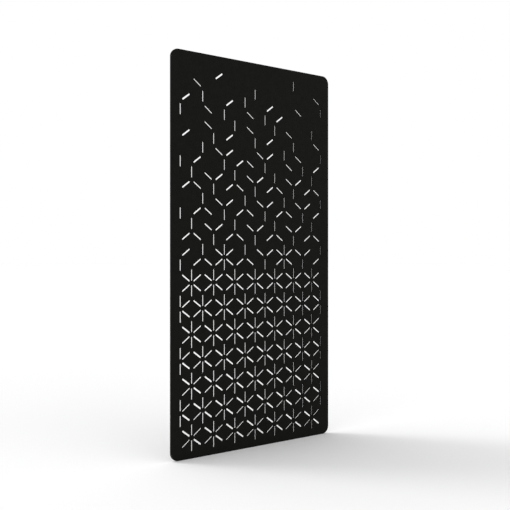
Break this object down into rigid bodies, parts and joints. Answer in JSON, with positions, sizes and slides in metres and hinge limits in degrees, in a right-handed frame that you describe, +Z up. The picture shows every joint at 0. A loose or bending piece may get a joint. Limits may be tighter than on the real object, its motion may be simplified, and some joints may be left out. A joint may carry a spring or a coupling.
{
  "type": "hanging acoustic screen",
  "caption": "Tall black felt screen panel with rounded corners, cut through with slots in a star lattice that thins towards the top; flush threaded hanging points in its top edge.",
  "frame": {"origin": "middle of the top edge, halfway between the two hanging points", "axes": "+Z up, out of the top edge; +X across the screen, to the right as seen from its front; the front faces -Y"},
  "size_m": [1.2, 0.012, 2.4],
  "materials": {
    "felt": "matte",
    "sleeve_nylon": "matte",
    "insert_brass": "satin"
  },
  "bodies": {
    "root": {"felt_board": "felt", "anchor_sleeve_left": "sleeve_nylon", "anchor_sleeve_right": "sleeve_nylon", "threaded_insert_left": "insert_brass", "threaded_insert_right": "insert_brass"}
  },
  "joints": []
}
